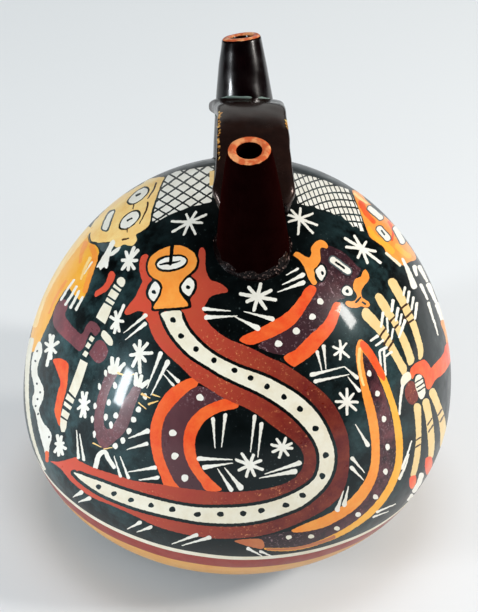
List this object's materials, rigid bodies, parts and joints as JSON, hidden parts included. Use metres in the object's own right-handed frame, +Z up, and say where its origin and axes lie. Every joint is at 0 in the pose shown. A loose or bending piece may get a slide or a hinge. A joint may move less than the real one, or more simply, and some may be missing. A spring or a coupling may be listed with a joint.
{
  "type": "nazca double spout bottle",
  "caption": "Round-bodied clay bottle with a pair of leaning tapered spouts joined by an arched strap bridge; holds and pours liquid.",
  "frame": {"origin": "middle of the flat that the bottle stands on", "axes": "+Z up, front spout towards -Y, rear spout towards +Y, +X to the right seen from the front"},
  "size_m": [0.165, 0.165, 0.1798],
  "materials": {
    "painted_body": "burnished slip paint over fired clay",
    "dark_slip": "glossy burnished dark brown slip",
    "luting_clay": "smoothed clay under dark slip"
  },
  "bodies": {
    "root": {"base_bowl": "painted_body", "shoulder_ring": "painted_body", "crown_cap": "painted_body", "front_spout": "dark_slip", "rear_spout": "dark_slip", "bridge_strap": "dark_slip", "front_spout_lute": "luting_clay", "rear_spout_lute": "luting_clay", "front_bridge_lute": "luting_clay", "rear_bridge_lute": "luting_clay"}
  },
  "joints": []
}
